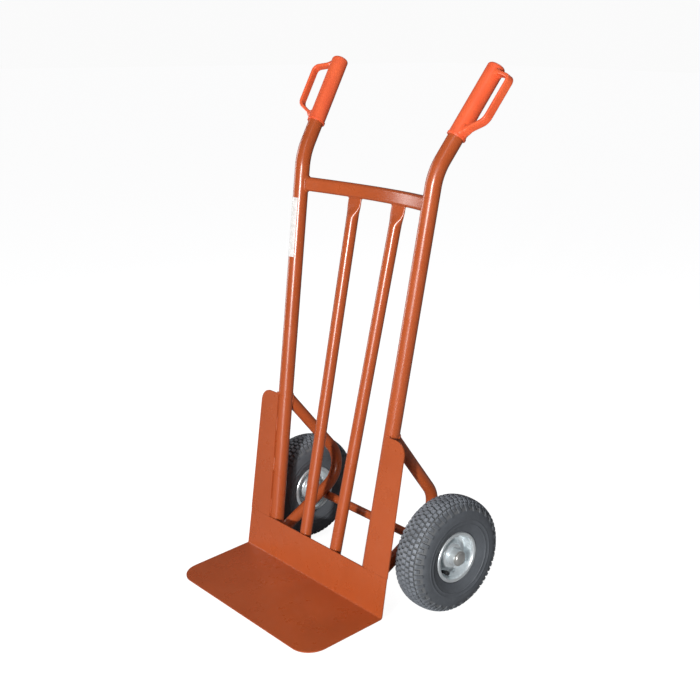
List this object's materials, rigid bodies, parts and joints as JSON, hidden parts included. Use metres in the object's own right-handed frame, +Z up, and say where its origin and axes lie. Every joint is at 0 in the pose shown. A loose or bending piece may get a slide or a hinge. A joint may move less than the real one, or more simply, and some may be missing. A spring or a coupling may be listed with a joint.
{
  "type": "hand truck",
  "caption": "Two-wheeled hand truck: welded tube frame with a bent toe plate, bowed crossbar, pneumatic wheels and guarded grips.",
  "frame": {"origin": "on the floor, under the middle of the truck's bounding box", "axes": "+Z up, -Y the way the toe blade points, +X to the left of someone standing behind the truck and facing the load's side"},
  "size_m": [0.6014, 0.5127, 1.1597],
  "materials": {
    "frame_paint": "gloss orange powder coat",
    "grip_plastic": "smooth satin moulding",
    "tyre_rubber": "moulded block tread, dusty",
    "tube_rubber": "smooth",
    "valve_plastic": "moulded",
    "rim_zinc": "bright zinc plate on pressed steel",
    "fittings_zinc": "bright zinc plate",
    "bearing_steel": "ground, lightly greased"
  },
  "bodies": {
    "frame": {"toe_plate": "frame_paint", "left_ear_plate": "frame_paint", "right_ear_plate": "frame_paint", "left_rail": "frame_paint", "right_rail": "frame_paint", "crossbar": "frame_paint", "left_centre_tube": "frame_paint", "right_centre_tube": "frame_paint", "left_wheel_bracket": "frame_paint", "right_wheel_bracket": "frame_paint", "axle": "frame_paint", "left_axle_collar": "frame_paint", "right_axle_collar": "frame_paint", "left_grip": "grip_plastic", "left_inner_washer": "fittings_zinc", "left_outer_washer": "fittings_zinc", "left_axle_cap": "fittings_zinc", "right_grip": "grip_plastic", "right_inner_washer": "fittings_zinc", "right_outer_washer": "fittings_zinc", "right_axle_cap": "fittings_zinc"},
    "left_wheel": {"left_tyre": "tyre_rubber", "left_inner_tube": "tube_rubber", "left_valve_cap": "valve_plastic", "left_rim_outer_half": "rim_zinc", "left_rim_inner_half": "rim_zinc", "left_hub_tube": "rim_zinc", "left_inner_bearing": "bearing_steel", "left_outer_bearing": "bearing_steel"},
    "right_wheel": {"right_tyre": "tyre_rubber", "right_inner_tube": "tube_rubber", "right_valve_cap": "valve_plastic", "right_rim_outer_half": "rim_zinc", "right_rim_inner_half": "rim_zinc", "right_hub_tube": "rim_zinc", "right_inner_bearing": "bearing_steel", "right_outer_bearing": "bearing_steel"}
  },
  "joints": [
    {"name": "left_wheel_spin", "type": "hinge", "parent": "frame", "child": "left_wheel", "pos_m": [-0.244, 0.12635, 0.13], "axis": [1, 0, 0], "continuous": true},
    {"name": "right_wheel_spin", "type": "hinge", "parent": "frame", "child": "right_wheel", "pos_m": [0.244, 0.12635, 0.13], "axis": [1, 0, 0], "continuous": true}
  ]
}
